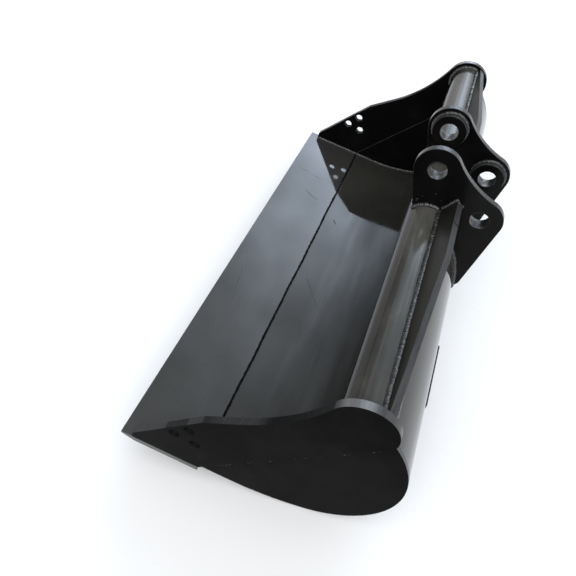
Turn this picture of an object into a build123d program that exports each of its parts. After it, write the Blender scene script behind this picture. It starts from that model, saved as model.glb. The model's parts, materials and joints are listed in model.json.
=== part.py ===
from build123d import *
from math import acos, asin, atan2, cos, degrees, hypot, radians, sin
import os

# Excavator grading bucket, 1 m wide, all welded steel plate.
# Row frame: +X is the width, -Y points out over the cutting edge, +Z is up.
# Every profile is drawn in side view as (depth behind the cutting edge, height above the floor),
# and the whole bucket leans back by rest_tilt, as it stands on level ground on its wear straps.

# ---- driving dimensions, mm ----
width = 1000.0
rest_tilt = 20.2
blade_depth = 136.0
blade_thickness = 12.0
blade_nose = 4.0
blade_bevel = 24.0
blade_chamfer = 2.5
shell_thickness = 6.0
cutter_thickness = 12.0
cheek_thickness = 6.0
strap_thickness = 6.0
strap_width = 124.0
strap_middle = 274.0
strap_start = 150.0
strap_end_turn = 6.0
# bends from the flat to the facet that the bucket stands on, and from there to upright
strap_floor_bends = 2
strap_heel_bends = 6
weld_leg = 5.0
small_leg = 4.0
# how far an outline runs on under the surface that trims it
overrun = 2.0

# shell: flat floor, floor curve, heel curve and back curve, each tangent to the last
flat_end = 185.0
floor_radius = 352.0
back_depth = 411.5
back_height = 162.0

# torque tube and the round lobe of the side cutters around it
tube_centre = (309.5, 296.0)
tube_radius = 35.0
tube_wall = 6.0
lobe_radius = 46.0
notch_angle = -12.5

# side cutter outline
toe_depth = 20.0
toe_height = 13.0
knee = (121.4, 142.0)
flank = (175.0, 186.0)
toe_radius = 5.0
knee_radius = 14.0
bolt_circle_centre = (104.2, 82.0)
bolt_circle_diameter = 40.0
bolt_hole_diameter = 18.0
bolt_count = 3
bolt_first_angle = 83.0

# ears and pins
ear_gap = 126.0
ear_thickness = 12.0
ear_radius = 37.5
ear_valley_radius = 170.0
ear_front_angle = 150.0
ear_foot = (417.0, 204.7)
ear_foot_angle = 9.0
arm_pin = (286.0, 395.0)
pin_spacing = 112.0
pin_slope = -28.3
pin_bore_diameter = 30.5
boss_diameter = 58.0
boss_height = 12.0

# wings: radial plates on the tube, from each ear out to the side cutter
wing_angle = 61.6
wing_thickness = 12.0
wing_height = 37.0
wing_end_height = 9.0
wing_straight_end = 210.0

# ---- worked out from them ----
depth_way = (0, cos(radians(rest_tilt)), -sin(radians(rest_tilt)))
height_way = (0, sin(radians(rest_tilt)), cos(radians(rest_tilt)))
outer_x = width / 2
inner_x = outer_x - cutter_thickness
cheek_outer_x = inner_x + cheek_thickness
ear_inner_x = ear_gap / 2
ear_outer_x = ear_inner_x + ear_thickness
link_pin = (
    arm_pin[0] + pin_spacing * cos(radians(pin_slope)),
    arm_pin[1] + pin_spacing * sin(radians(pin_slope)),
)
shell_bottom = -shell_thickness

notch = (
    tube_centre[0] + lobe_radius * cos(radians(notch_angle)),
    tube_centre[1] + lobe_radius * sin(radians(notch_angle)),
)
floor_centre = (flat_end, shell_bottom + floor_radius)
# the straps' facet that lies tangent at rest_tilt is the lowest, the nose and the rear ear are the ends
lowest = (
    floor_centre[0] * depth_way[2]
    + floor_centre[1] * height_way[2]
    - floor_radius
    - strap_thickness
)
foremost = -blade_nose * height_way[1]
rearmost = link_pin[0] * depth_way[1] + link_pin[1] * height_way[1] + ear_radius
front_y = -(foremost + rearmost) / 2
floor_z = -lowest
# the heel circle touches the upright back at back_height and the floor circle from inside
heel_run = back_depth - flat_end
heel_rise = floor_centre[1] - back_height
heel_radius = (heel_run**2 + heel_rise**2 - floor_radius**2) / (2 * (heel_run - floor_radius))
heel_centre = (back_depth - heel_radius, back_height)
floor_turn = degrees(atan2(heel_centre[0] - floor_centre[0], heel_rise))
# the back circle leaves the heel upright and ends in the notch
back_run = back_depth - notch[0]
back_rise = notch[1] - back_height
back_radius = (back_run**2 + back_rise**2) / (2 * back_run)
back_centre = (back_depth - back_radius, back_height)
notch_turn = degrees(asin(back_rise / back_radius))


def on_circle(centre, radius, angle):
    return (centre[0] + radius * cos(radians(angle)), centre[1] + radius * sin(radians(angle)))


def angle_from(centre, point):
    return degrees(atan2(point[1] - centre[1], point[0] - centre[0]))


def upper_crossing(centre_a, radius_a, centre_b, radius_b):
    """The crossing of two circles that lies to the right of the line from a to b."""
    gap = hypot(centre_b[0] - centre_a[0], centre_b[1] - centre_a[1])
    swing = degrees(acos((gap**2 + radius_a**2 - radius_b**2) / (2 * gap * radius_a)))
    return on_circle(centre_a, radius_a, angle_from(centre_a, centre_b) - swing)


def place(x, point):
    """A side view point in the row frame."""
    y = front_y + point[0] * depth_way[1] + point[1] * height_way[1]
    z = floor_z + point[0] * depth_way[2] + point[1] * height_way[2]
    return (x, y, z)


def side_plane(x):
    """Side view at one x: across is depth behind the cutting edge, up is height above the floor."""
    return Plane(origin=place(x, (0, 0)), x_dir=depth_way, z_dir=(1, 0, 0))


def depth_plane(depth):
    """Cross-section of the flat floor at one depth, facing back: across is x, up is below the floor."""
    return Plane(origin=place(0, (depth, 0)), x_dir=(1, 0, 0), z_dir=depth_way)


def cross_plane(centre, angle):
    """Half plane through a cross-wise axis: across is x, up is the distance from the axis."""
    normal = (0, -sin(radians(angle - rest_tilt)), cos(radians(angle - rest_tilt)))
    return Plane(origin=place(0, centre), x_dir=(1, 0, 0), z_dir=normal)


def cross_axis(centre):
    return Axis(place(0, centre), (1, 0, 0))


shell_top = upper_crossing(back_centre, back_radius, tube_centre, tube_radius)
shell_top_turn = angle_from(back_centre, shell_top)


def shell_line(inset, start, end_turn):
    """The shell's side view line, inset from its outside, from a floor depth to a turn of the back."""
    height = shell_bottom + inset
    Line((start, height), (flat_end, height))
    CenterArc(floor_centre, floor_radius - inset, 270, floor_turn)
    CenterArc(heel_centre, heel_radius - inset, 270 + floor_turn, 90 - floor_turn)
    CenterArc(back_centre, back_radius - inset, 0, end_turn)
    return (start, height), on_circle(back_centre, back_radius - inset, end_turn)


def shell_band(outer_inset, inner_inset, start, end_turn):
    """The closed outline of a rolled sheet between two insets from the shell's outside."""
    outer_start, outer_end = shell_line(outer_inset, start, end_turn)
    inner_start, inner_end = shell_line(inner_inset, start, end_turn)
    Line(outer_start, inner_start)
    Line(outer_end, inner_end)


def strap_corner(turn, next_turn):
    """Where two facets of a strap's outside meet, each tangent to the shell's curve at its own turn."""
    reaches = []
    for angle in (turn, next_turn):
        if angle <= floor_turn:
            centre, radius = floor_centre, floor_radius
        elif angle <= 90:
            centre, radius = heel_centre, heel_radius
        else:
            centre, radius = back_centre, back_radius
        outward = centre[0] * sin(radians(angle)) - centre[1] * cos(radians(angle))
        reaches.append(outward + radius + strap_thickness)
    spread = sin(radians(next_turn - turn))
    depth = (reaches[1] * cos(radians(turn)) - reaches[0] * cos(radians(next_turn))) / spread
    height = (reaches[1] * sin(radians(turn)) - reaches[0] * sin(radians(next_turn))) / spread
    return depth, height


def bead(*points):
    """The section of a fillet weld."""
    Polygon(*points, align=None)


def save(piece, name):
    piece.part.label = name
    export_step(piece.part, "parts/" + name + ".step")


os.makedirs("parts", exist_ok=True)
sides = (("right", 1), ("left", -1))

# ---- cutting edge: flat bar, bevelled underneath at the front ----
with BuildPart() as cutting_edge:
    with BuildSketch(side_plane(-outer_x)):
        with BuildLine():
            Polyline(
                (0, 0),
                (blade_depth, 0),
                (blade_depth, -blade_thickness + blade_chamfer),
                (blade_depth - blade_chamfer, -blade_thickness),
                (blade_bevel, -blade_thickness),
                (0, -blade_nose),
                close=True,
            )
        make_face()
    extrude(amount=width)
save(cutting_edge, "cutting_edge")

# ---- torque tube: between the two side cutters ----
with BuildPart() as torque_tube:
    with BuildSketch(side_plane(-inner_x)):
        with Locations(tube_centre):
            Circle(tube_radius)
            Circle(tube_radius - tube_wall, mode=Mode.SUBTRACT)
    extrude(amount=2 * inner_x)
save(torque_tube, "torque_tube")

# ---- shell: floor, heel and back in one rolled sheet, trimmed to the tube ----
with BuildPart() as shell:
    with BuildSketch(side_plane(-inner_x)):
        with BuildLine():
            shell_band(0, shell_thickness, blade_depth, shell_top_turn + overrun)
        make_face()
        with Locations(tube_centre):
            Circle(tube_radius, mode=Mode.SUBTRACT)
    extrude(amount=2 * inner_x)
save(shell, "shell")

# ---- side cutters: front side plates with the lobe that closes the tube's end ----
flank_way = Vector(flank[0] - knee[0], flank[1] - knee[1]).normalized()
flank_normal = (-flank_way.Y, flank_way.X)
from_tube = (flank[0] - tube_centre[0], flank[1] - tube_centre[1])
# hollow arc that leaves the flank in line and meets the lobe's circle from outside
hollow_radius = (from_tube[0] ** 2 + from_tube[1] ** 2 - lobe_radius**2) / (
    2 * (lobe_radius - from_tube[0] * flank_normal[0] - from_tube[1] * flank_normal[1])
)
hollow_centre = (
    flank[0] + hollow_radius * flank_normal[0],
    flank[1] + hollow_radius * flank_normal[1],
)
lobe_start = on_circle(tube_centre, lobe_radius, angle_from(tube_centre, hollow_centre))

strap_turns = [rest_tilt * k / strap_floor_bends for k in range(strap_floor_bends + 1)]
heel_step = (90 - rest_tilt) / strap_heel_bends
strap_turns += [rest_tilt + heel_step * k for k in range(1, strap_heel_bends + 1)]
strap_turns.append(90 + strap_end_turn)
strap_corners = [strap_corner(*pair) for pair in zip(strap_turns, strap_turns[1:])]

for side, sign in sides:
    with BuildPart() as side_cutter:
        with BuildSketch(side_plane(sign * inner_x)):
            with BuildLine():
                FilletPolyline(
                    (toe_depth, 0),
                    (toe_depth, toe_height),
                    knee,
                    flank,
                    radius=(toe_radius, knee_radius),
                )
                TangentArc(flank, lobe_start, tangent=(flank_way.X, flank_way.Y))
                ThreePointArc(lobe_start, on_circle(tube_centre, lobe_radius, 60), notch)
                Polyline(notch, (blade_depth, 0), (toe_depth, 0))
            make_face()
            with Locations(bolt_circle_centre):
                with PolarLocations(bolt_circle_diameter / 2, bolt_count, bolt_first_angle):
                    Circle(bolt_hole_diameter / 2, mode=Mode.SUBTRACT)
        extrude(amount=sign * cutter_thickness)
    save(side_cutter, "side_cutter_" + side)

    # ---- cheek plates: thinner rear side plates, flush with the side cutters inside ----
    with BuildPart() as cheek_plate:
        with BuildSketch(side_plane(sign * inner_x)):
            with BuildLine():
                shell_line(0, blade_depth, notch_turn)
                Polyline(notch, (blade_depth, 0), (blade_depth, shell_bottom))
            make_face()
        extrude(amount=sign * cheek_thickness)
    save(cheek_plate, "cheek_plate_" + side)

    # ---- wear straps: flat bars bent in short facets around the heel ----
    with BuildPart() as wear_strap:
        with BuildSketch(side_plane(sign * (strap_middle - strap_width / 2))):
            with BuildLine():
                strap_inner_start, strap_inner_end = shell_line(0, strap_start, strap_end_turn)
                Polyline(
                    strap_inner_start,
                    (strap_start, shell_bottom - strap_thickness),
                    *strap_corners,
                    on_circle(back_centre, back_radius + strap_thickness, strap_end_turn),
                    strap_inner_end,
                )
            make_face()
        extrude(amount=sign * strap_width)
    save(wear_strap, "wear_strap_" + side)

# ---- ears: two plates that saddle the tube and run down the back of the shell ----
ear_front = on_circle(tube_centre, tube_radius, ear_front_angle)
to_pin = hypot(arm_pin[0] - ear_front[0], arm_pin[1] - ear_front[1])
front_tangent = on_circle(
    arm_pin, ear_radius, angle_from(arm_pin, ear_front) - degrees(acos(ear_radius / to_pin))
)
valley_reach = ear_radius + ear_valley_radius
valley_lean = degrees(acos(pin_spacing / 2 / valley_reach))
valley_centre = on_circle(arm_pin, valley_reach, pin_slope + valley_lean)
valley_start = on_circle(arm_pin, ear_radius, angle_from(arm_pin, valley_centre))
valley_end = on_circle(link_pin, ear_radius, angle_from(link_pin, valley_centre))
valley_middle = on_circle(valley_centre, ear_valley_radius, pin_slope - 90)
to_foot = hypot(ear_foot[0] - link_pin[0], ear_foot[1] - link_pin[1])
back_tangent = on_circle(
    link_pin, ear_radius, angle_from(link_pin, ear_foot) + degrees(acos(ear_radius / to_foot))
)
ear_root = on_circle(back_centre, back_radius, ear_foot_angle)

for side, sign in sides:
    with BuildPart() as ear:
        with BuildSketch(side_plane(sign * ear_inner_x)):
            with BuildLine():
                Line(ear_front, front_tangent)
                ThreePointArc(front_tangent, on_circle(arm_pin, ear_radius, 120), valley_start)
                ThreePointArc(valley_start, valley_middle, valley_end)
                ThreePointArc(valley_end, on_circle(link_pin, ear_radius, 30), back_tangent)
                Polyline(back_tangent, ear_foot, ear_root)
                CenterArc(back_centre, back_radius, ear_foot_angle, shell_top_turn - ear_foot_angle)
                ThreePointArc(shell_top, on_circle(tube_centre, tube_radius, 90), ear_front)
            make_face()
            with Locations(arm_pin, link_pin):
                Circle(pin_bore_diameter / 2, mode=Mode.SUBTRACT)
        extrude(amount=sign * ear_thickness)
    save(ear, "ear_" + side)

    # ---- pin bosses: collars on the ears' inner faces, each with its ring weld ----
    for pin_name, pin in (("arm", arm_pin), ("link", link_pin)):
        with BuildPart() as boss:
            with BuildSketch(side_plane(sign * ear_inner_x)):
                with Locations(pin):
                    Circle(boss_diameter / 2)
                    Circle(pin_bore_diameter / 2, mode=Mode.SUBTRACT)
            extrude(amount=-sign * boss_height)
        save(boss, pin_name + "_pin_boss_" + side)

        with BuildPart() as boss_weld:
            with BuildSketch(cross_plane(pin, 90)):
                bead(
                    (sign * ear_inner_x, boss_diameter / 2),
                    (sign * ear_inner_x, boss_diameter / 2 + small_leg),
                    (sign * (ear_inner_x - small_leg), boss_diameter / 2),
                )
            revolve(axis=cross_axis(pin))
        save(boss_weld, pin_name + "_boss_weld_" + side)

    # ---- wings: full height beside the ear, then tapering out to the side cutter ----
    with BuildPart() as wing:
        with BuildSketch(cross_plane(tube_centre, wing_angle)):
            with BuildLine():
                Polyline(
                    (sign * ear_outer_x, tube_radius - overrun),
                    (sign * ear_outer_x, tube_radius + wing_height),
                    (sign * wing_straight_end, tube_radius + wing_height),
                    (sign * inner_x, tube_radius + wing_end_height),
                    (sign * inner_x, tube_radius - overrun),
                    close=True,
                )
            make_face()
        extrude(amount=wing_thickness / 2, both=True)
        with BuildSketch(side_plane(-inner_x)):
            with Locations(tube_centre):
                Circle(tube_radius)
        extrude(amount=2 * inner_x, mode=Mode.SUBTRACT)
    save(wing, "wing_" + side)

    # ---- weld beads along both feet of the wing ----
    with BuildPart() as wing_weld:
        with BuildSketch(side_plane(sign * (ear_outer_x + weld_leg))):
            for face in (1, -1):
                foot_angle, under_angle = (
                    wing_angle + face * degrees(asin(wing_thickness / 2 / reach))
                    for reach in (tube_radius, tube_radius - overrun)
                )
                foot = on_circle(tube_centre, tube_radius, foot_angle)
                along_wing = on_circle(foot, weld_leg, wing_angle)
                bead_turn = degrees(weld_leg / tube_radius)
                along_tube = on_circle(tube_centre, tube_radius, foot_angle + face * bead_turn)
                under = on_circle(tube_centre, tube_radius - overrun, under_angle)
                bead(along_wing, along_tube, under)
            with Locations(tube_centre):
                Circle(tube_radius, mode=Mode.SUBTRACT)
        extrude(amount=sign * (inner_x - ear_outer_x - 2 * weld_leg))
    save(wing_weld, "wing_weld_" + side)

    # ---- ring weld between the tube's end and the side cutter ----
    with BuildPart() as tube_end_weld:
        with BuildSketch(cross_plane(tube_centre, 90)):
            bead(
                (sign * inner_x, tube_radius),
                (sign * inner_x, tube_radius + weld_leg),
                (sign * (inner_x - weld_leg), tube_radius),
            )
        revolve(axis=cross_axis(tube_centre))
        add(wing.part, mode=Mode.SUBTRACT)
        add(shell.part, mode=Mode.SUBTRACT)
    save(tube_end_weld, "tube_end_weld_" + side)

    # ---- weld around the ear's edge: over the tube and down the back of the shell, both faces ----
    with BuildPart() as ear_weld:
        for face_x, way in ((ear_outer_x, 1), (ear_inner_x, -1)):
            tip_x = face_x + way * weld_leg
            with BuildSketch(cross_plane(tube_centre, angle_from(tube_centre, shell_top))):
                bead(
                    (sign * face_x, tube_radius),
                    (sign * face_x, tube_radius + weld_leg),
                    (sign * tip_x, tube_radius),
                )
            revolve(
                axis=cross_axis(tube_centre),
                revolution_arc=ear_front_angle - angle_from(tube_centre, shell_top),
            )
            with BuildSketch(cross_plane(back_centre, ear_foot_angle)):
                bead(
                    (sign * face_x, back_radius),
                    (sign * face_x, back_radius + weld_leg),
                    (sign * tip_x, back_radius),
                )
            revolve(axis=cross_axis(back_centre), revolution_arc=shell_top_turn - ear_foot_angle)
        add(wing.part, mode=Mode.SUBTRACT)
        add(torque_tube.part, mode=Mode.SUBTRACT)
        add(shell.part, mode=Mode.SUBTRACT)
    save(ear_weld, "ear_weld_" + side)

    # ---- inside weld between the shell and the side plates ----
    corner = ((sign * inner_x, 0), (sign * inner_x, -small_leg), (sign * (inner_x - small_leg), 0))
    with BuildPart() as shell_weld:
        runs = (
            (floor_centre, floor_radius, 270, floor_turn),
            (heel_centre, heel_radius, 270 + floor_turn, 90 - floor_turn),
            (back_centre, back_radius, 0, shell_top_turn),
        )
        for centre, radius, start_angle, turn in runs:
            inside = radius - shell_thickness
            with BuildSketch(cross_plane(centre, start_angle)):
                bead(*((x, inside + up) for x, up in corner))
            revolve(axis=cross_axis(centre), revolution_arc=turn)
        with BuildSketch(depth_plane(blade_depth)):
            bead(*corner)
        extrude(amount=flat_end - blade_depth)
        add(tube_end_weld.part, mode=Mode.SUBTRACT)
        add(torque_tube.part, mode=Mode.SUBTRACT)
    save(shell_weld, "shell_weld_" + side)

    # ---- inside weld between the cutting edge and the side cutter ----
    with BuildPart() as cutter_weld:
        with BuildSketch(depth_plane(toe_depth)):
            bead(*corner)
        extrude(amount=blade_depth - toe_depth)
    save(cutter_weld, "cutter_weld_" + side)

    # ---- outside weld in the step where the cheek plate meets the side cutter ----
    joint_foot = Vector(place(sign * cheek_outer_x, (blade_depth, 0)))
    joint_way = Vector(place(sign * cheek_outer_x, notch)) - joint_foot
    joint_plane = Plane(origin=joint_foot, x_dir=(1, 0, 0), z_dir=joint_way.normalized())
    with BuildPart() as cheek_weld:
        with BuildSketch(joint_plane.offset(weld_leg)):
            bead((0, 0), (sign * weld_leg, 0), (0, weld_leg))
        extrude(amount=joint_way.length - 2 * weld_leg)
    save(cheek_weld, "cheek_weld_" + side)

# ---- weld beads that run across the bucket ----
middle_half = ear_inner_x - weld_leg
outer_run = inner_x - ear_outer_x - 2 * weld_leg
with BuildPart() as tube_shell_weld:
    for start_x, run in (
        (-inner_x + weld_leg, outer_run),
        (-middle_half, 2 * middle_half),
        (ear_outer_x + weld_leg, outer_run),
    ):
        with BuildSketch(side_plane(start_x)):
            up_tube = angle_from(tube_centre, shell_top) + degrees(weld_leg / tube_radius)
            down_back = shell_top_turn - degrees(weld_leg / back_radius)
            bead(
                on_circle(tube_centre, tube_radius, up_tube),
                on_circle(back_centre, back_radius, down_back),
                on_circle(shell_top, overrun, angle_from(shell_top, tube_centre)),
            )
            with Locations(tube_centre):
                Circle(tube_radius, mode=Mode.SUBTRACT)
            with Locations(back_centre):
                Circle(back_radius, mode=Mode.SUBTRACT)
        extrude(amount=run)
save(tube_shell_weld, "tube_shell_weld")

with BuildPart() as cutting_edge_weld:
    with BuildSketch(side_plane(-inner_x)):
        bead(
            (blade_depth, shell_bottom),
            (blade_depth, shell_bottom - weld_leg),
            (blade_depth + weld_leg, shell_bottom),
        )
    extrude(amount=2 * inner_x)
save(cutting_edge_weld, "cutting_edge_weld")
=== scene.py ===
import json
import random
from itertools import count
from math import acos, asin, atan2, cos, degrees, hypot, pi, radians, sin

import bmesh
import bpy
import numpy as np
from mathutils import Matrix, Vector


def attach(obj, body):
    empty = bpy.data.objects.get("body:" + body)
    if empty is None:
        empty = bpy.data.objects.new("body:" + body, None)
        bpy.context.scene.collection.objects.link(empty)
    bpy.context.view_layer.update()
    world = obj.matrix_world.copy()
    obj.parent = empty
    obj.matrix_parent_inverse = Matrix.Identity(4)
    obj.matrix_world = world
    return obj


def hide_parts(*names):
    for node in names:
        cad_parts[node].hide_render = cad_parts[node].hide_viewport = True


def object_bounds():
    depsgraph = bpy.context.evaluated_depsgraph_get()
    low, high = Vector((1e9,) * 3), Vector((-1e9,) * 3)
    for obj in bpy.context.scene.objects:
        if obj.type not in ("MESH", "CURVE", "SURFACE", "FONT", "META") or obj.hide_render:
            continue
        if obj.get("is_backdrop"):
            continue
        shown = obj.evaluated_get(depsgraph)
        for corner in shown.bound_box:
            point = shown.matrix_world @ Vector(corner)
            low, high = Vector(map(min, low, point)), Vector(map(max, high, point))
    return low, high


# The excavator bucket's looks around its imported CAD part. Dimensions and the points of added
# pieces are in mm in the part's own measures; place() and add_piece() turn them into metres in
# the row frame, and materials measure in metres.

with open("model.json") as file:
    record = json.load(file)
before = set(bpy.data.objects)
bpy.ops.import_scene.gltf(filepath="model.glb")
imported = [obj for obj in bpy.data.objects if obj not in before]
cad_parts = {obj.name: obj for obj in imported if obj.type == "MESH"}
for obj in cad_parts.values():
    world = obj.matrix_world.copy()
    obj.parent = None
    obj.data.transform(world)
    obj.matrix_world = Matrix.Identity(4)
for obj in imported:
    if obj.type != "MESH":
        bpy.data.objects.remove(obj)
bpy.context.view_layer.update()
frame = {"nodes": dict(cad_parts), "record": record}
nodes = frame["nodes"]
mounts = {mount["name"]: mount for mount in frame["record"]["mounts"]}
scene = bpy.context.scene
MM = 0.001

# ---- the part's dimensions in its side view (depth behind the edge, height above the floor) ----
INNER_X = 488.0
CHEEK_X = 494.0
BLADE_DEPTH = 136.0
SHELL_BOTTOM = -6.0
SHELL = 6.0
FLOOR_CENTRE, FLOOR_RADIUS = (185.0, 346.0), 352.0
BACK_DEPTH, BACK_HEIGHT = 411.5, 162.0
TUBE_CENTRE, TUBE_RADIUS = (309.5, 296.0), 35.0
NOTCH_REACH, NOTCH_ANGLE = 46.0, -12.5
EAR_INNER, EAR_OUTER = 63.0, 75.0
EAR_FRONT_ANGLE, EAR_FOOT_ANGLE = 150.0, 9.0
ARM_PIN = (286.0, 395.0)
PIN_SPACING, PIN_SLOPE = 112.0, -28.3
BOSS_RADIUS = 29.0
BORE_RADIUS = 15.25
WING_ANGLE, WING_THICKNESS, WING_HEIGHT = 61.6, 12.0, 37.0

# ---- welds and joints ----
LEG, SMALL_LEG = 5.0, 4.0
# how far a bead stops short of the piece that crosses its path, and runs on past the ear's front
BEAD_GAP = 1.0
EAR_BEAD_LAP_ANGLE = 3.0
CUTTER_BEAD_START = 22.0
CORNER_BEAD_LOW, CORNER_BEAD_HIGH = 4.0, 38.0
SEAM_HALF = 1.7
CHEEK_JOINT_START, CHEEK_JOINT_LENGTH = 3.0, 318.0
# the run over which the cheek joint's wander is drawn before it is stretched to the joint
JOINT_WANDER_RUN = 240.0
WING_BUTT_X = 134.0
EDGE_ROUNDING = 0.6


def on_circle(centre, radius, angle):
    return (centre[0] + radius * cos(radians(angle)), centre[1] + radius * sin(radians(angle)))


def angle_from(centre, point):
    return degrees(atan2(point[1] - centre[1], point[0] - centre[0]))


def crossing(centre_a, radius_a, centre_b, radius_b):
    """Of the two crossings of two circles, the one to the right of the line from a to b."""
    gap = hypot(centre_b[0] - centre_a[0], centre_b[1] - centre_a[1])
    swing = degrees(acos((gap**2 + radius_a**2 - radius_b**2) / (2 * gap * radius_a)))
    return on_circle(centre_a, radius_a, angle_from(centre_a, centre_b) - swing)


LINK_PIN = on_circle(ARM_PIN, PIN_SPACING, PIN_SLOPE)
NOTCH = on_circle(TUBE_CENTRE, NOTCH_REACH, NOTCH_ANGLE)
heel_run = BACK_DEPTH - FLOOR_CENTRE[0]
heel_rise = FLOOR_CENTRE[1] - BACK_HEIGHT
HEEL_RADIUS = (heel_run**2 + heel_rise**2 - FLOOR_RADIUS**2) / (2 * (heel_run - FLOOR_RADIUS))
HEEL_CENTRE = (BACK_DEPTH - HEEL_RADIUS, BACK_HEIGHT)
FLOOR_TURN = degrees(atan2(HEEL_CENTRE[0] - FLOOR_CENTRE[0], heel_rise))
back_run = BACK_DEPTH - NOTCH[0]
BACK_RADIUS = (back_run**2 + (NOTCH[1] - BACK_HEIGHT) ** 2) / (2 * back_run)
BACK_CENTRE = (BACK_DEPTH - BACK_RADIUS, BACK_HEIGHT)
SHELL_TOP = crossing(BACK_CENTRE, BACK_RADIUS, TUBE_CENTRE, TUBE_RADIUS)
SHELL_TOP_TURN = angle_from(BACK_CENTRE, SHELL_TOP)
SHELL_TOP_ON_TUBE = angle_from(TUBE_CENTRE, SHELL_TOP)
INNER_TOP = crossing(BACK_CENTRE, BACK_RADIUS - SHELL, TUBE_CENTRE, TUBE_RADIUS)

# the side view's axes in the row frame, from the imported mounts
_, under_y, under_z = mounts["cutting_edge_underside"]["axis"]
HEIGHT_WAY = np.array((0.0, -under_y, -under_z))
DEPTH_WAY = np.array((0.0, -under_z, under_y))
ACROSS = np.array((1.0, 0.0, 0.0))
LOCAL_AXES = np.array((ACROSS, DEPTH_WAY, HEIGHT_WAY))
ORIGIN = (
    np.array(mounts["arm_pin"]["pos_m"])
    - DEPTH_WAY * ARM_PIN[0] * MM
    - HEIGHT_WAY * ARM_PIN[1] * MM
)


def direction(x, depth, height):
    """A direction given along the width, the depth and the height, in the row frame."""
    return x * ACROSS + depth * DEPTH_WAY + height * HEIGHT_WAY


def place(x, depth, height):
    """A point given in mm in the part's own measures, in the row frame in metres."""
    return ORIGIN + MM * direction(x, depth, height)


def vec(x, depth, height):
    return np.array((x, depth, height), float)


# ---- meshes ----
def add_piece(name, points, faces, material, replaces=()):
    """A closed mesh from points in the part's own measures; it belongs to the welded bucket."""
    mesh = bpy.data.meshes.new(name)
    row_points = ORIGIN + MM * np.array(points) @ LOCAL_AXES
    mesh.from_pydata([tuple(p) for p in row_points], [], faces)
    mesh.update()
    mesh.polygons.foreach_set("use_smooth", [True] * len(mesh.polygons))
    obj = bpy.data.objects.new(name, mesh)
    scene.collection.objects.link(obj)
    mesh.materials.append(material)
    work = bmesh.new()
    work.from_mesh(mesh)
    bmesh.ops.recalc_face_normals(work, faces=work.faces)
    work.to_mesh(mesh)
    work.free()
    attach(obj, "root")
    if replaces:
        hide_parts(*replaces)


def add_runs(name, runs, material):
    """One piece from several (points, faces) runs."""
    points, faces = [], []
    for run_points, run_faces in runs:
        first = len(points)
        points += run_points
        faces += [tuple(first + k for k in face) for face in run_faces]
    add_piece(name, points, faces, material)


def ribbon(path_points, across_way, up_way, left, right, rise, arch):
    """A thin strip: left and right are offsets in mm at each point, rise lifts it, arch rounds it."""
    points, faces = [], []
    t = np.linspace(0, 1, 5)
    crown = 4 * t * (1 - t)
    wide = len(t) + 1
    for point, low, high in zip(path_points, left, right):
        for share, lift in zip(t, crown):
            points.append(point + across_way * (low + (high - low) * share) + up_way * (rise + arch * lift))
        points.append(point + across_way * (low + high) / 2 - up_way * 0.2)
    last = wide * (len(path_points) - 1)
    for first in range(0, last, wide):
        for k in range(wide):
            n = (k + 1) % wide
            faces.append((first + k, first + n, first + wide + n, first + wide + k))
    faces.append(tuple(reversed(range(wide))))
    faces.append(tuple(last + k for k in range(wide)))
    return points, faces


def wander(steps, seed, waves=(9.0, 23.0, 61.0)):
    """A slow irregular curve between about -1 and 1, along steps in mm."""
    rng = random.Random(seed)
    total = np.zeros(len(steps))
    for length in waves:
        total += np.sin(2 * pi * (steps / (length * rng.uniform(0.85, 1.15)) + rng.random()))
    return total / len(waves)


class Bead:
    """Collects the strips of one weld bead, each a rippled fillet along a path."""

    seeds = count(110, 10)
    pitch = 2.7
    ring_step = 0.5
    across = 9

    def __init__(self, name):
        self.name = name
        self.seed = next(self.seeds)
        self.points = []
        self.faces = []

    def strip(self, path, length, leg_a, leg_b, ripple, closed=False, blunt=3.0):
        """path(t) gives the corner point and the directions of leg a and leg b, for t from 0 to 1."""
        self.seed += 1
        rings = max(8, int(length / self.ring_step))
        share = np.linspace(0, 1, rings, endpoint=not closed)
        along = share * length
        size = 1 + 0.13 * wander(along, self.seed) + 0.08 * wander(along, self.seed + 50, (3.6, 7.0))
        shift = 0.8 * wander(along, self.seed + 90, (9.0, 17.0, 37.0))
        beat = along / self.pitch + 0.45 * wander(along, self.seed + 20, (13.0, 31.0, 53.0))
        force = ripple * (1 + 0.7 * wander(along, self.seed + 70, (8.0, 19.0)))
        if not closed:
            edge = np.clip(np.minimum(along, length - along) / blunt, 0, 1)
            size = size * (0.35 + 0.65 * np.sqrt(1 - (1 - edge) ** 2))
        first = len(self.points)
        t = np.linspace(0, 1, self.across)
        crown = 4 * t * (1 - t)
        for i in range(rings):
            corner, way_a, way_b = path(float(share[i]))
            out = way_a + way_b
            out = out / np.linalg.norm(out)
            scallop = np.abs(np.sin(pi * (beat[i] + 0.55 * crown))) ** 0.55
            reach_a = leg_a * size[i] + shift[i] * 0.4
            reach_b = leg_b * size[i] - shift[i] * 0.4
            lift = 0.22 * leg_a * size[i] * crown + force[i] * (scallop - 0.7) * np.sqrt(crown)
            for k in range(self.across):
                point = corner + way_a * reach_a * (1 - t[k]) + way_b * reach_b * t[k]
                self.points.append(point + out * (lift[k] - 0.12 * (1 - crown[k])))
            self.points.append(corner - out * 0.15)
        wide = self.across + 1
        last = rings if closed else rings - 1
        for i in range(last):
            here, there = first + i * wide, first + ((i + 1) % rings) * wide
            for k in range(wide):
                n = (k + 1) % wide
                self.faces.append((here + k, here + n, there + n, there + k))
        if not closed:
            end = first + (rings - 1) * wide
            self.faces.append(tuple(first + k for k in reversed(range(wide))))
            self.faces.append(tuple(end + k for k in range(wide)))

    def build(self, material):
        """Takes the place of the CAD weld that has the same name but for bead."""
        add_piece(self.name, self.points, self.faces, material, [self.name.replace("_bead", "_weld")])


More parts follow.
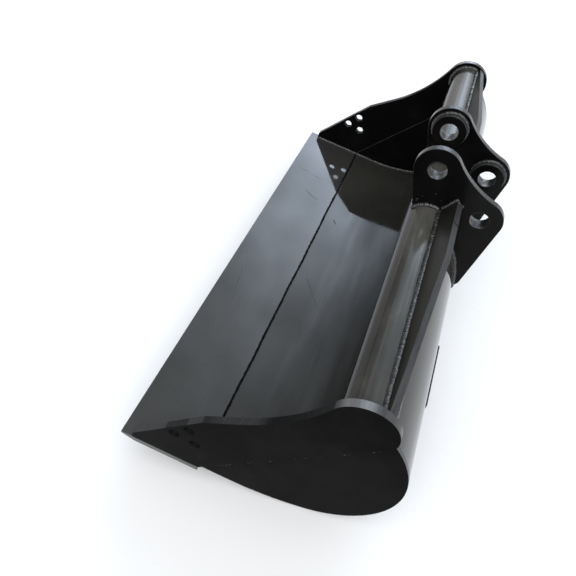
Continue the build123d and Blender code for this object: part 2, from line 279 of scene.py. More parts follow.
def line_path(start, end, way_a, way_b):
    start, end, way_a, way_b = (np.array(v, float) for v in (start, end, way_a, way_b))
    way_a = way_a / np.linalg.norm(way_a)
    way_b = way_b / np.linalg.norm(way_b)
    return lambda t: (start + (end - start) * t, way_a, way_b)


def arc_path(centre, radius, angle, turn, x, side, inward=False):
    """Along a circle in side view at one x: leg a is radial, leg b runs along x towards side."""
    flip = -1.0 if inward else 1.0

    def path(t):
        a = radians(angle + turn * t)
        radial = vec(0, cos(a), sin(a))
        corner = vec(x, centre[0], centre[1]) + radial * radius
        return corner, radial * flip, vec(side, 0, 0)

    return path


def arc_length(radius, turn):
    return abs(radians(turn)) * radius


# ---- materials ----
class Graph:
    """Shorthand for the nodes of one tree; position is what its noises are laid out in."""

    def __init__(self, tree, coordinates):
        self.tree = tree
        self.position = self.add("ShaderNodeTexCoord").outputs[coordinates]

    def put(self, socket, value):
        if isinstance(value, bpy.types.NodeSocket):
            self.tree.links.new(value, socket)
        elif value is not None:
            socket.default_value = value

    def add(self, kind, inputs=None, **settings):
        node = self.tree.nodes.new(kind)
        for key, value in settings.items():
            setattr(node, key, value)
        for key, value in (inputs or {}).items():
            self.put(node.inputs[key], value)
        return node

    def math(self, operation, a, b=None):
        return self.add("ShaderNodeMath", {0: a, 1: b}, operation=operation).outputs[0]

    def vector(self, operation, a, b):
        return self.add("ShaderNodeVectorMath", {0: a, 1: b}, operation=operation).outputs[0]

    def dot(self, a, way):
        values = {0: a, 1: tuple(way)}
        return self.add("ShaderNodeVectorMath", values, operation="DOT_PRODUCT").outputs["Value"]

    def noise(self, scale, detail=4.0, roughness=0.55, stretch=None):
        vector = self.position
        if stretch is not None:
            vector = self.add("ShaderNodeMapping", {"Vector": vector, **stretch}).outputs[0]
        values = {"Vector": vector, "Scale": scale, "Detail": detail, "Roughness": roughness}
        return self.add("ShaderNodeTexNoise", values).outputs["Fac"]

    def ramp(self, value, low, high, out_low=0.0, out_high=1.0, kind="SMOOTHSTEP"):
        values = {"Value": value, "From Min": low, "From Max": high, "To Min": out_low, "To Max": out_high}
        return self.add("ShaderNodeMapRange", values, interpolation_type=kind).outputs[0]

    def mix(self, factor, a, b, kind="RGBA"):
        values = {"Factor": factor, "A": a, "B": b}
        return self.add("ShaderNodeMix", values, data_type=kind).outputs["Result"]

    def blend(self, factor, a, b):
        return self.mix(factor, a, b, "FLOAT")

    def bump(self, height, distance, strength=1.0, after=None):
        values = {"Height": height, "Distance": distance, "Strength": strength, "Normal": after}
        return self.add("ShaderNodeBump", values).outputs[0]


class Paint(Graph):
    """A material with one Principled shader, laid out in the row frame in metres."""

    def __init__(self, name):
        self.material = bpy.data.materials.new(name)
        self.material.use_nodes = True
        super().__init__(self.material.node_tree, "Object")
        self.shader = self.tree.nodes["Principled BSDF"]
        self.normal = self.add("ShaderNodeNewGeometry").outputs["True Normal"]

    def set(self, **inputs):
        for key, value in inputs.items():
            self.put(self.shader.inputs[key.replace("_", " ")], value)

    def along(self, way):
        """The surface point's measure along one of the part's own axes."""
        return self.dot(self.vector("SUBTRACT", self.position, tuple(ORIGIN)), way)

    def facing(self, way):
        return self.dot(self.normal, way)

    def from_axis(self, point):
        """Distance from the line along x through a point."""
        off = self.vector("SUBTRACT", self.position, tuple(point))
        flat = self.vector("MULTIPLY", off, (0.0, 1.0, 1.0))
        return self.add("ShaderNodeVectorMath", {0: flat}, operation="LENGTH").outputs["Value"]


def grey(value, warm=0.0):
    return (value * (1 + warm), value, value * (1 - warm), 1.0)


def shades(base, darker, lighter):
    """Two colours, from one base and how much darker and lighter they are."""
    return [[c * factor for c in base] + [1.0] for factor in (darker, lighter)]


def line_mark(g, start, end, width):
    """1 on a thin wavering line between two floor points in mm (x, depth), 0 away from it."""
    run = np.array(end, float) - np.array(start, float)
    length = float(np.linalg.norm(run))
    way = run / length
    from_x = g.math("SUBTRACT", g.along(ACROSS), start[0] * MM)
    from_depth = g.math("SUBTRACT", g.along(DEPTH_WAY), start[1] * MM)
    along = g.math("ADD", g.math("MULTIPLY", from_x, way[0]), g.math("MULTIPLY", from_depth, way[1]))
    off = g.math("SUBTRACT", g.math("MULTIPLY", from_x, way[1]), g.math("MULTIPLY", from_depth, way[0]))
    waver = g.math("MULTIPLY", g.math("SUBTRACT", g.noise(45.0, 3.0), 0.5), 0.012)
    off = g.math("ABSOLUTE", g.math("ADD", off, waver))
    near = g.ramp(off, width * MM, width * 0.4 * MM)
    from_middle = g.math("ABSOLUTE", g.math("SUBTRACT", along, length / 2 * MM))
    inside = g.ramp(from_middle, length / 2 * MM, length * 0.4 * MM)
    return g.math("MULTIPLY", near, inside)


def faint_scratches(g, seed, angle, amount):
    """Sparse hairlines in one direction, broken up by patches."""
    stretch = {
        "Location": (seed * 3.7, seed * 1.3, seed * 2.1),
        "Rotation": (0.0, 0.0, radians(angle)),
        "Scale": (6.0, 420.0, 420.0),
    }
    lines = g.noise(1.0, 1.0, 0.4, stretch)
    patches = g.noise(5.0 + seed, 2.0)
    return g.math("MULTIPLY", g.ramp(lines, amount, amount + 0.04), g.ramp(patches, 0.52, 0.64))


def floor_paint(name, ior, base, marks):
    """Gloss paint on the blade or the shell: a clear mirror with haze, dust and a few scratches."""
    dust_colour = (0.05, 0.052, 0.052, 1)
    scratch_colour = (0.09, 0.095, 0.10, 1)
    g = Paint(name)
    clouds = g.noise(6.0, 5.0, 0.6)
    haze = g.noise(14.0, 6.0, 0.65, {"Scale": (0.7, 1.6, 1.6)})
    dust = g.noise(90.0, 8.0, 0.75)
    flecks = g.ramp(g.noise(260.0, 2.0), 0.72, 0.78)
    hairs = g.math("MAXIMUM", faint_scratches(g, 1, 24.0, 0.7), faint_scratches(g, 2, -58.0, 0.71))
    tone = g.mix(g.ramp(clouds, 0.35, 0.68), *shades(base, 0.85, 1.2))
    tone = g.mix(g.math("MULTIPLY", g.ramp(dust, 0.5, 0.8), 0.35), tone, dust_colour)
    tone = g.mix(g.math("MULTIPLY", hairs, 0.3), tone, scratch_colour)
    tone = g.mix(g.math("MULTIPLY", flecks, 0.5), tone, grey(0.004))
    rough = g.ramp(haze, 0.35, 0.72, 0.03, 0.09)
    rough = g.math("ADD", rough, g.math("MULTIPLY", hairs, 0.12))
    rough = g.math("ADD", rough, g.math("MULTIPLY", flecks, 0.2))
    for start, end, width in marks:
        mark = line_mark(g, start, end, width)
        tone = g.mix(mark, tone, grey(0.006))
        rough = g.math("ADD", rough, g.math("MULTIPLY", mark, 0.4))
    sag = g.bump(g.noise(4.0, 2.0), 0.0010, 0.3)
    peel = g.bump(g.noise(420.0, 2.0), 0.00002, 0.4, sag)
    g.set(Base_Color=tone, Roughness=rough, IOR=ior, Normal=peel)
    return g.material


def side_plate_painted_light(g):
    """How light a side plate's edge is painted: painted shade at the toe and before the lobe, a painted
    highlight on the lobe's top, painted shade round the bolt holes.
    """
    depth = g.along(DEPTH_WAY)
    lobe_top = TUBE_CENTRE[0] * MM
    bolts = mounts["side_bolts_right"]["pos_m"]
    # painted shade and painted highlight along the side plate's edge, by depth and round the bolts
    wear = g.ramp(depth, 0.115, 0.16, 0.35, 0.75)
    for stage in (
        g.ramp(depth, 0.180, 0.212, 1.0, 0.16),
        g.ramp(depth, lobe_top - 0.044, lobe_top - 0.028, 1.0, 32.0),
        g.ramp(depth, lobe_top - 0.014, lobe_top + 0.006, 1.0, 0.3),
        g.ramp(g.from_axis(bolts), 0.033, 0.037, 0.5, 1.0),
    ):
        wear = g.math("MULTIPLY", wear, stage)
    return wear


def plate_paint(name, face_tone, shine, edge_tone=0.07, edge_metal=0.55, wear=None, pins=()):
    """Gloss black on sawn plate: dark faces, flame-cut edges that look lighter, bare steel bores."""
    g = Paint(name)
    on_edge = g.ramp(g.math("ABSOLUTE", g.facing(ACROSS)), 0.95, 0.6)
    clouds = g.noise(7.0, 6.0, 0.6)
    dust = g.noise(60.0, 8.0, 0.7)
    drag = g.noise(1.0, 3.0, 0.6, {"Scale": (25.0, 230.0, 230.0)})
    face = g.mix(g.ramp(clouds, 0.4, 0.7), grey(face_tone * 0.7), grey(face_tone * 1.5, 0.04))
    face = g.mix(g.math("MULTIPLY", g.ramp(dust, 0.55, 0.8), 0.25), face, grey(face_tone * 3.5))
    edge = g.mix(g.ramp(drag, 0.25, 0.75), grey(edge_tone * 0.88), grey(edge_tone * 1.12, -0.02))
    metal = g.math("MULTIPLY", on_edge, edge_metal)
    # where given, painted shade and painted highlight along the edges, with less metal where painted darker
    if wear:
        edge_light_factor = wear(g)
        edge = g.vector("MULTIPLY", edge, edge_light_factor)
        metal = g.math("MULTIPLY", metal, g.ramp(edge_light_factor, 0.08, 0.3))
    tone = g.mix(on_edge, face, edge)
    rough = g.blend(on_edge, g.ramp(dust, 0.3, 0.8, 0.14, 0.28), g.ramp(drag, 0.3, 0.7, 0.22, 0.29))
    bumps = g.bump(g.noise(480.0, 2.0), 0.00003, 0.4)
    bumps = g.bump(g.math("MULTIPLY", drag, on_edge), 0.0001, 0.5, bumps)
    if pins:
        wall, rim = (BORE_RADIUS + 0.3) * MM, (BORE_RADIUS + 0.9) * MM
        inside = g.math("MAXIMUM", *[g.ramp(g.from_axis(pin), rim, wall) for pin in pins])
        rings = g.noise(1.0, 3.0, 0.6, {"Scale": (500.0, 14.0, 14.0)})
        stain = g.ramp(g.noise(120.0, 4.0), 0.4, 0.7)
        steel = g.mix(stain, grey(0.05, 0.02), g.mix(rings, grey(0.12, 0.02), grey(0.25, 0.02)))
        tone = g.mix(inside, tone, steel)
        rough = g.blend(inside, rough, g.ramp(rings, 0.3, 0.7, 0.34, 0.55))
        bumps = g.bump(g.math("MULTIPLY", rings, inside), 0.0002, 0.5, bumps)
        metal = g.math("MAXIMUM", metal, inside)
    g.set(Base_Color=tone, Metallic=metal, Roughness=rough, Specular_IOR_Level=shine, Normal=bumps)
    return g.material


def wing_paint():
    """Matt olive-black faces and a lighter ground strip along the wing's outer edge."""
    g = Paint("wing_paint")
    face_normal = direction(0, -sin(radians(WING_ANGLE)), cos(radians(WING_ANGLE)))
    on_edge = g.ramp(g.math("ABSOLUTE", g.facing(face_normal)), 0.9, 0.5)
    clouds = g.noise(11.0, 6.0, 0.6)
    drag = g.noise(1.0, 4.0, 0.6, {"Scale": (6.0, 150.0, 150.0)})
    face = g.mix(g.ramp(clouds, 0.35, 0.7), (0.009, 0.009, 0.007, 1), (0.017, 0.0165, 0.013, 1))
    edge = g.mix(g.ramp(drag, 0.3, 0.7), (0.026, 0.0275, 0.029, 1), (0.048, 0.05, 0.053, 1))
    g.set(
        Base_Color=g.mix(on_edge, face, edge),
        Roughness=g.blend(on_edge, g.ramp(clouds, 0.3, 0.7, 0.3, 0.42), g.ramp(drag, 0.3, 0.7, 0.26, 0.4)),
        Specular_IOR_Level=0.13,
        Normal=g.bump(g.noise(300.0, 3.0), 0.00005, 0.5, g.bump(drag, 0.00015, 0.5)),
    )
    return g.material


def tube_paint():
    """Gloss olive-black over drawn tube: fine lines, stains and shallow waves along it, with painted shade
    on the side towards the bowl.
    """
    g = Paint("tube_paint")
    drawn = g.noise(1.0, 5.0, 0.6, {"Scale": (1.6, 120.0, 120.0)})
    waves = g.noise(1.0, 2.0, 0.5, {"Scale": (3.0, 14.0, 14.0)})
    clouds = g.noise(13.0, 5.0, 0.6, {"Scale": (0.5, 1.0, 1.0)})
    tone = g.mix(g.ramp(clouds, 0.38, 0.68), (0.032, 0.032, 0.028, 1), (0.066, 0.064, 0.056, 1))
    tone = g.mix(g.math("MULTIPLY", g.ramp(drawn, 0.5, 0.75), 0.4), tone, (0.08, 0.08, 0.076, 1))
    # painted shade: the side towards the bowl is painted much darker, the rest a little lighter
    bowl_side_painted_shade = g.ramp(g.facing(DEPTH_WAY), -0.92, -0.55, 0.06, 1.25)
    tone = g.vector("MULTIPLY", tone, bowl_side_painted_shade)
    rough = g.math("ADD", g.ramp(drawn, 0.3, 0.7, 0.1, 0.2), g.ramp(clouds, 0.5, 0.75, 0.0, 0.07))
    bumps = g.bump(drawn, 0.00012, 0.5, g.bump(waves, 0.0012, 0.35))
    g.set(Base_Color=tone, Roughness=rough, IOR=1.33, Normal=bumps)
    return g.material


def weld_paint(name, base, speck, shine):
    """Gloss black over weld metal: patchy tone, with worn specks."""
    g = Paint(name)
    clouds = g.noise(70.0, 4.0)
    specks = g.ramp(g.noise(260.0, 2.0), 0.64, 0.7)
    tone = g.mix(g.ramp(clouds, 0.4, 0.65), grey(base * 0.6), grey(base * 1.4, 0.03))
    g.set(
        Base_Color=g.mix(specks, tone, grey(speck, -0.01)),
        Metallic=g.math("MULTIPLY", specks, 0.5),
        Roughness=g.ramp(clouds, 0.3, 0.7, shine, shine + 0.15),
        IOR=1.6,
        Normal=g.bump(g.noise(900.0, 3.0), 0.00012, 0.6),
    )
    return g.material


def gap_dark():
    """The shadow in an open joint."""
    g = Paint("gap_dark")
    tone = g.mix(g.noise(300.0, 4.0), grey(0.001), grey(0.005, 0.1))
    rough = g.ramp(g.noise(220.0), 0.3, 0.7, 0.6, 0.9)
    g.set(Base_Color=tone, Roughness=rough, Specular_IOR_Level=0.05)
    return g.material


# scratches as (start, end, width) between floor points (x, depth)
blade_marks = [
    ((-252, 61), (-235, 104), 1.6),
    ((-330, 12), (-318, 86), 1.1),
    ((60, 28), (150, 44), 0.8),
]
shell_marks = [((-190, 158), (-178, 171), 1.6), ((20, 160), (96, 214), 0.7)]
bores = [mounts[name]["pos_m"] for name in ("arm_pin", "link_pin")]
BLADE_PAINT = floor_paint("blade_paint", 1.58, (0.034, 0.0345, 0.032), blade_marks)
SHELL_PAINT = floor_paint("shell_paint", 1.44, (0.029, 0.0285, 0.025), shell_marks)
TUBE_PAINT = tube_paint()
WING_PAINT = wing_paint()
WELD_PAINT = weld_paint("weld_paint", 0.024, 0.16, 0.16)
BOSS_WELD = weld_paint("boss_weld_paint", 0.008, 0.03, 0.12)
GAP_DARK = gap_dark()
PLATE_PAINT = plate_paint("plate_paint", 0.0045, 0.01, wear=side_plate_painted_light)
STRAP_PAINT = plate_paint("strap_paint", 0.012, 0.3, edge_tone=0.012, edge_metal=0.0)
EAR_PAINT = plate_paint("ear_paint", 0.004, 0.09, pins=bores)

materials = {"cutting_edge": BLADE_PAINT, "shell": SHELL_PAINT, "torque_tube": TUBE_PAINT}
for side in ("right", "left"):
    materials["side_cutter_" + side] = PLATE_PAINT
    materials["cheek_plate_" + side] = PLATE_PAINT
    materials["wear_strap_" + side] = STRAP_PAINT
    materials["wing_" + side] = WING_PAINT
    materials["ear_" + side] = EAR_PAINT
    materials["arm_pin_boss_" + side] = EAR_PAINT
    materials["link_pin_boss_" + side] = EAR_PAINT

# each CAD node that stays keeps its mesh and gets its material and softened edges
for name, material in materials.items():
    node = nodes[name]
    node.data.materials.clear()
    node.data.materials.append(material)
    weld = node.modifiers.new("join", "WELD")
    weld.merge_threshold = 1e-5
    bevel = node.modifiers.new("soften", "BEVEL")
    bevel.width = EDGE_ROUNDING * MM
    bevel.segments = 2
    bevel.limit_method = "ANGLE"
    bevel.angle_limit = radians(35)
    bevel.use_clamp_overlap = True
    bevel.harden_normals = False
    normals = node.modifiers.new("even", "WEIGHTED_NORMAL")
    normals.keep_sharp = False
    normals.weight = 80

# ---- weld beads ----
sides = (("right", 1), ("left", -1))
wing_half = degrees(asin(WING_THICKNESS / 2 / TUBE_RADIUS))
wing_clear = wing_half + degrees(BEAD_GAP / TUBE_RADIUS)
wing_way = vec(0, cos(radians(WING_ANGLE)), sin(radians(WING_ANGLE)))
over_wing = vec(0, -wing_way[2], wing_way[1])
up_way = vec(0, 0, 1)
inner_top_turn = angle_from(BACK_CENTRE, INNER_TOP)
inner_top_on_tube = angle_from(TUBE_CENTRE, INNER_TOP) + 360
ear_front_end = EAR_FRONT_ANGLE + EAR_BEAD_LAP_ANGLE
for side, sign in sides:
    inner_x = sign * INNER_X
    towards_middle = vec(-sign, 0, 0)
    for pin_name, pin in (("arm", ARM_PIN), ("link", LINK_PIN)):
        bead = Bead(pin_name + "_boss_bead_" + side)
        path = arc_path(pin, BOSS_RADIUS, 40, 360, sign * EAR_INNER, -sign)
        bead.strip(path, arc_length(BOSS_RADIUS, 360), SMALL_LEG, SMALL_LEG, ripple=0.16, closed=True)
        bead.build(BOSS_WELD)

    # ring between the tube and the side cutter, in the runs that the wing and shell leave
    bead = Bead("tube_end_bead_" + side)
    for start, end in (
        (SHELL_TOP_ON_TUBE, WING_ANGLE - wing_clear),
        (WING_ANGLE + wing_clear, inner_top_on_tube),
    ):
        path = arc_path(TUBE_CENTRE, TUBE_RADIUS, start, end - start, inner_x, -sign)
        bead.strip(path, arc_length(TUBE_RADIUS, end - start), LEG, LEG, ripple=0.35)
    bead.build(WELD_PAINT)

    # round the ear's saddle on the tube and down the back
    bead = Bead("ear_bead_" + side)
    for face, way, start, end in (
        (EAR_OUTER, sign, SHELL_TOP_ON_TUBE, WING_ANGLE - wing_clear),
        (EAR_OUTER, sign, WING_ANGLE + wing_clear, ear_front_end),
        (EAR_INNER, -sign, SHELL_TOP_ON_TUBE, ear_front_end),
    ):
        path = arc_path(TUBE_CENTRE, TUBE_RADIUS, start, end - start, sign * face, way)
        bead.strip(path, arc_length(TUBE_RADIUS, end - start), LEG, LEG, ripple=0.45)
    turn = SHELL_TOP_TURN - EAR_FOOT_ANGLE
    for face, way in ((EAR_OUTER, sign), (EAR_INNER, -sign)):
        path = arc_path(BACK_CENTRE, BACK_RADIUS, EAR_FOOT_ANGLE, turn, sign * face, way)
        bead.strip(path, arc_length(BACK_RADIUS, turn), LEG, LEG, ripple=0.4)
    bead.build(BOSS_WELD)

    # both feet of the wing, and up its corners with the ear
    bead = Bead("wing_bead_" + side)
    start_x, end_x = sign * (EAR_OUTER + BEAD_GAP), sign * (INNER_X - BEAD_GAP)
    for face in (1, -1):
        foot_angle = WING_ANGLE + face * wing_half
        foot = on_circle(TUBE_CENTRE, TUBE_RADIUS, foot_angle)
        tangent = vec(0, -sin(radians(foot_angle)), cos(radians(foot_angle))) * face
        path = line_path(vec(start_x, *foot), vec(end_x, *foot), wing_way, tangent)
        bead.strip(path, abs(end_x - start_x), LEG * 0.9, LEG * 0.9, ripple=0.35)
        face_way = over_wing * face
        corner = vec(sign * EAR_OUTER, *TUBE_CENTRE) + face_way * WING_THICKNESS / 2
        low = corner + wing_way * (TUBE_RADIUS + CORNER_BEAD_LOW)
        high = corner + wing_way * (TUBE_RADIUS + CORNER_BEAD_HIGH)
        path = line_path(low, high, vec(sign, 0, 0), face_way)
        bead.strip(path, CORNER_BEAD_HIGH - CORNER_BEAD_LOW, LEG * 0.8, LEG * 0.8, ripple=0.3)
    bead.build(WELD_PAINT)

    # inside corner between the shell and the side plates
    bead = Bead("shell_bead_" + side)
    start, end = vec(inner_x, BLADE_DEPTH, 0), vec(inner_x, FLOOR_CENTRE[0], 0)
    path = line_path(start, end, up_way, towards_middle)
    bead.strip(path, FLOOR_CENTRE[0] - BLADE_DEPTH, SMALL_LEG, SMALL_LEG, ripple=0.45, blunt=0.5)
    for centre, radius, start, turn in (
        (FLOOR_CENTRE, FLOOR_RADIUS, 270, FLOOR_TURN),
        (HEEL_CENTRE, HEEL_RADIUS, 270 + FLOOR_TURN, 90 - FLOOR_TURN),
        (BACK_CENTRE, BACK_RADIUS, 0, inner_top_turn),
    ):
        inside = radius - SHELL
        path = arc_path(centre, inside, start, turn, inner_x, -sign, inward=True)
        bead.strip(path, arc_length(inside, turn), SMALL_LEG, SMALL_LEG, ripple=0.45, blunt=0.5)
    bead.build(WELD_PAINT)

    # inside corner between the blade and the side cutter
    bead = Bead("cutter_bead_" + side)
    start, end = vec(inner_x, CUTTER_BEAD_START, 0), vec(inner_x, BLADE_DEPTH, 0)
    path = line_path(start, end, up_way, towards_middle)
    bead.strip(path, BLADE_DEPTH - CUTTER_BEAD_START, SMALL_LEG, SMALL_LEG, ripple=0.45)
    bead.build(WELD_PAINT)

    # outside step where the cheek plate meets the side cutter
    bead = Bead("cheek_bead_" + side)
    foot, top = vec(sign * CHEEK_X, BLADE_DEPTH, 0), vec(sign * CHEEK_X, *NOTCH)
    way = (top - foot) / np.linalg.norm(top - foot)
    start, end = foot + way * LEG, top - way * LEG
    path = line_path(start, end, vec(sign, 0, 0), vec(0, way[2], -way[1]))
    bead.strip(path, np.linalg.norm(end - start), LEG * 0.95, LEG, ripple=0.4)
    bead.build(WELD_PAINT)

bead = Bead("tube_shell_bead")
tube_tangent = vec(0, -sin(radians(SHELL_TOP_ON_TUBE)), cos(radians(SHELL_TOP_ON_TUBE)))
back_tangent = vec(0, sin(radians(SHELL_TOP_TURN)), -cos(radians(SHELL_TOP_TURN)))
between_ears = EAR_INNER - BEAD_GAP
for start_x, end_x in (
    (-INNER_X + BEAD_GAP, -EAR_OUTER - BEAD_GAP),
    (-between_ears, between_ears),
    (EAR_OUTER + BEAD_GAP, INNER_X - BEAD_GAP),
):
    path = line_path(vec(start_x, *SHELL_TOP), vec(end_x, *SHELL_TOP), tube_tangent, back_tangent)
    bead.strip(path, end_x - start_x, LEG, LEG, ripple=0.45)
bead.build(WELD_PAINT)

bead = Bead("cutting_edge_bead")
start, end = (vec(x, BLADE_DEPTH, SHELL_BOTTOM) for x in (-INNER_X, INNER_X))
bead.strip(line_path(start, end, -up_way, vec(0, 1, 0)), 2 * INNER_X, LEG, LEG, ripple=0.45)
bead.build(WELD_PAINT)

# ---- open joint between the blade and the shell, with a low rough lip along each side ----
seam_x = np.linspace(-INNER_X + BEAD_GAP, INNER_X - BEAD_GAP, 700)
seam_wave = 0.6 * wander(seam_x, 901, (140.0, 310.0)) + 0.35 * wander(seam_x, 902, (11.0, 27.0, 60.0))
seam_half = SEAM_HALF + 0.4 * wander(seam_x, 903, (8.0, 19.0, 47.0))
seam_line = [vec(x, BLADE_DEPTH + w, 0) for x, w in zip(seam_x, seam_wave)]
back_way = vec(0, 1, 0)
# a dark strip lying on the floor: painted shadow in the open joint
gap = ribbon(seam_line, back_way, up_way, -seam_half, seam_half, 0.10, 0.05)
add_runs("floor_seam", [gap], GAP_DARK)
lips = []
for way, lip_seed in ((-1, 911), (1, 921)):
    lip = 1.0 + 0.7 * wander(seam_x, lip_seed, (7.0, 17.0, 90.0))
    near_side = way * seam_half
    far_side = way * (seam_half + np.clip(lip, 0.25, None))
    lips.append(ribbon(seam_line, back_way, up_way, near_side, far_side, 0.05, 0.3))
add_runs("floor_seam_lips", lips, WELD_PAINT)

# ---- ground joint line between side cutter and cheek plate, inside ----
joints = []
foot, notch = np.array((BLADE_DEPTH, CHEEK_JOINT_START)), np.array(NOTCH)
joint_way = (notch - foot) / np.linalg.norm(notch - foot)
share = np.linspace(0, 1, 160)
steps = share * JOINT_WANDER_RUN
for _, sign in sides:
    wave = 0.4 * wander(steps, 931 + sign, (40.0, 90.0))
    half = 0.7 + 0.2 * wander(steps, 941 + sign, (9.0, 31.0))
    line = [vec(sign * INNER_X, *(foot + joint_way * CHEEK_JOINT_LENGTH * t)) for t in share]
    over = vec(0, joint_way[1], -joint_way[0])
    joints.append(ribbon(line, over, vec(-sign, 0, 0), wave - half, wave + half, 0.05, 0.18))
add_runs("cheek_joint_lines", joints, WELD_PAINT)

# ---- butt joint across each wing's outer edge ----
marks = []
for _, sign in sides:
    crest = vec(sign * WING_BUTT_X, *TUBE_CENTRE) + wing_way * (TUBE_RADIUS + WING_HEIGHT)
    line = [crest + over_wing * t for t in np.linspace(-5.2, 5.2, 9)]
    ragged = np.array([1.1, 1.3, 1.0, 1.2, 1.4, 1.1, 0.9, 1.2, 1.0])
    # dark marks across the wing's edge: painted shadow in the butt joint
    marks.append(ribbon(line, vec(1, 0, 0), wing_way, -ragged, ragged, 0.08, 0.06))
add_runs("wing_butt_marks", marks, GAP_DARK)


# ---- weld spatter and the lumps where the wing's weld wraps its corner ----
def dome(centre, out, radius, seed, squash=0.6):
    """A lumpy half ball standing on a surface."""
    rng = random.Random(seed)
    out = out / np.linalg.norm(out)
    side_way = np.cross(out, vec(0.3, 0.7, 0.2))
    side_way = side_way / np.linalg.norm(side_way)
    other = np.cross(out, side_way)
    phases = [rng.uniform(0, 2 * pi) for _ in range(2)]
    points, faces = [], []
    rings, around = 5, 12
    for i in range(rings):
        lift = pi / 2 * i / rings
        for k in range(around):
            turn = 2 * pi * k / around
            lump = 1 + 0.14 * sin(2 * turn + phases[0]) + 0.09 * sin(3 * turn + phases[1] + lift)
            flat = (side_way * cos(turn) + other * sin(turn)) * radius * cos(lift) * lump
            points.append(centre + flat + out * (radius * squash * sin(lift) - 0.15))
    points.append(centre + out * radius * squash)
    for first in range(0, (rings - 1) * around, around):
        for k in range(around):
            n = (k + 1) % around
            faces.append((first + k, first + n, first + around + n, first + around + k))
    top_ring = (rings - 1) * around
    for k in range(around):
        faces.append((top_ring + k, top_ring + (k + 1) % around, rings * around))
    faces.append(tuple(reversed(range(around))))
    return points, faces


def on_tube(x, angle):
    way = vec(0, cos(radians(angle)), sin(radians(angle)))
    return vec(x, *TUBE_CENTRE) + way * TUBE_RADIUS, way


rng = random.Random(77)
drops = []
for _, sign in sides:
    # lumps across the wing's crest beside the ear
    for k in range(5):
        crest = vec(sign * (EAR_OUTER + 2.5 + rng.uniform(-1.5, 3.5)), *TUBE_CENTRE)
        crest = crest + wing_way * (TUBE_RADIUS + WING_HEIGHT - 1.0 + rng.uniform(-1.0, 0.4))
        crest = crest + over_wing * (-5 + 2.5 * k)
        drops.append(dome(crest, wing_way + vec(sign * 0.6, 0, 0), rng.uniform(2.6, 3.8), 500 + k, 0.7))
    # drops on the tube, on the floor and on the ear's outer face
    for k in range(22):
        centre, way = on_tube(sign * rng.uniform(82, 470), rng.uniform(80, 150))
        drops.append(dome(centre, way, rng.uniform(0.5, 1.1), 520 + k))
    for k in range(10):
        spot = vec(sign * rng.uniform(60, 470), rng.uniform(20, 190), 0)
        drops.append(dome(spot, up_way, rng.uniform(0.5, 1.0), 560 + k))
    for k in range(8):
        reach = rng.uniform(8, 26)
        centre = vec(sign * EAR_OUTER, *on_circle(TUBE_CENTRE, TUBE_RADIUS + reach, rng.uniform(70, 140)))
        drops.append(dome(centre, vec(sign, 0, 0), rng.uniform(0.5, 1.0), 590 + k))
centre, way = on_tube(WING_BUTT_X, 88)
drops.append(dome(centre, way, 2.0, 610))
add_runs("weld_spatter", drops, WELD_PAINT)

# ---- floor ----
FLOOR_SPAN, FLOOR_DROP = 12.0, 0.0005
corners = ((-1, -1), (1, -1), (1, 1), (-1, 1))
floor_mesh = bpy.data.meshes.new("studio_floor")
floor_points = [(FLOOR_SPAN * x, FLOOR_SPAN * y, -FLOOR_DROP) for x, y in corners]
floor_mesh.from_pydata(floor_points, [], [(0, 1, 2, 3)])
studio_floor = bpy.data.objects.new("studio_floor", floor_mesh)
scene.collection.objects.link(studio_floor)
stage_paint = Paint("studio_floor_paint")
stage_paint.set(Base_Color=(0.93, 0.93, 0.93, 1), Roughness=0.9)
floor_mesh.materials.append(stage_paint.material)
studio_floor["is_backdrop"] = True

# ---- light: the sky's brightness and colour in each direction ----
world = bpy.data.worlds.new("studio")
scene.world = world
world.use_nodes = True
sky = Graph(world.node_tree, "Generated")
ray = sky.position


def lobe(way, power, colour):
    """Light that falls off smoothly round a direction."""
    near = sky.math("MAXIMUM", sky.dot(ray, Vector(way).normalized()), 0.0)
    return sky.vector("MULTIPLY", sky.math("POWER", near, power), colour)


def by_depth(stops):
    """Brightness by how far a direction points back along the bucket's depth, as a smooth table."""
    share = sky.ramp(sky.dot(ray, DEPTH_WAY), -1.0, 1.0, kind="LINEAR")
    node = sky.add("ShaderNodeValToRGB", {0: share})
    node.color_ramp.interpolation = "EASE"
    elements = node.color_ramp.elements
    for _ in stops[2:]:
        elements.new(0.5)
    for element, (reach, value) in zip(elements, stops):
        element.position = (reach + 1) / 2
        element.color = (value, value, value, 1)
    return node.outputs["Color"]


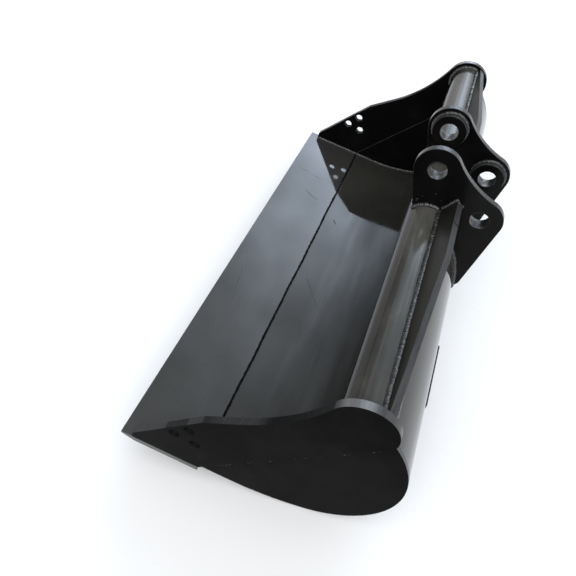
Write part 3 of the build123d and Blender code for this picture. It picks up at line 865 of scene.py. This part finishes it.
# a bright window on the far side, darkness towards the bucket's front, and soft light from the near side
window = lobe(direction(-0.914, 0.0, 0.406), 14.0, (4.5, 5.2, 6.2))
room = sky.vector("ADD", (0.46, 0.51, 0.57), window)
front_shade = by_depth([
    (-1.0, 0.25),
    (-0.6, 0.12),
    (-0.5, 0.08),
    (-0.40, 0.42),
    (-0.27, 0.85),
    (-0.2, 0.66),
    (-0.08, 1.0),
    (1.0, 1.1),
])
# the things that stand about the room, as soft patches in what the paint mirrors
clutter = sky.ramp(sky.noise(7.0, 3.0, 0.5), 0.38, 0.62, 0.74, 1.3, kind="LINEAR")
fill = lobe(direction(0.62, 0.1, 0.78), 3.0, (2.7, 2.68, 2.65))
lit = sky.vector("MULTIPLY", sky.vector("MULTIPLY", room, front_shade), clutter)
lit = sky.vector("ADD", lit, fill)
# a plain pale wall up to a little over the horizon
above_wall = sky.ramp(sky.dot(ray, (0.0, 0.0, 1.0)), 0.3, 0.46)
pale = (0.9, 0.9, 0.91, 1.0)
background = world.node_tree.nodes["Background"]
sky.put(background.inputs["Color"], sky.mix(above_wall, pale, lit))

# ---- camera: its place in the part's own measures, and its heading, dip and roll in degrees ----
VIEW_FROM = (871.64, 190.82, 879.71)
VIEW_HEADING, VIEW_DIP, VIEW_ROLL = 183.973, 47.617, 21.444
heading, dip, roll = (radians(angle) for angle in (VIEW_HEADING, VIEW_DIP, VIEW_ROLL))
ahead = Vector(direction(cos(dip) * cos(heading), cos(dip) * sin(heading), -sin(dip)))
level = Vector(direction(sin(heading), -cos(heading), 0))
right = level * cos(roll) + level.cross(ahead) * sin(roll)
camera_data = bpy.data.cameras.new("camera")
camera_data.sensor_width = 36.0
camera_data.lens = 35.63
camera_data.clip_start, camera_data.clip_end = 0.01, 100.0
camera = bpy.data.objects.new("camera", camera_data)
scene.collection.objects.link(camera)
turn = Matrix((right, right.cross(ahead), -ahead)).transposed().to_4x4()
camera.matrix_world = Matrix.Translation(Vector(place(*VIEW_FROM))) @ turn
scene.camera = camera
scene.view_settings.view_transform = "Standard"

low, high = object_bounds()
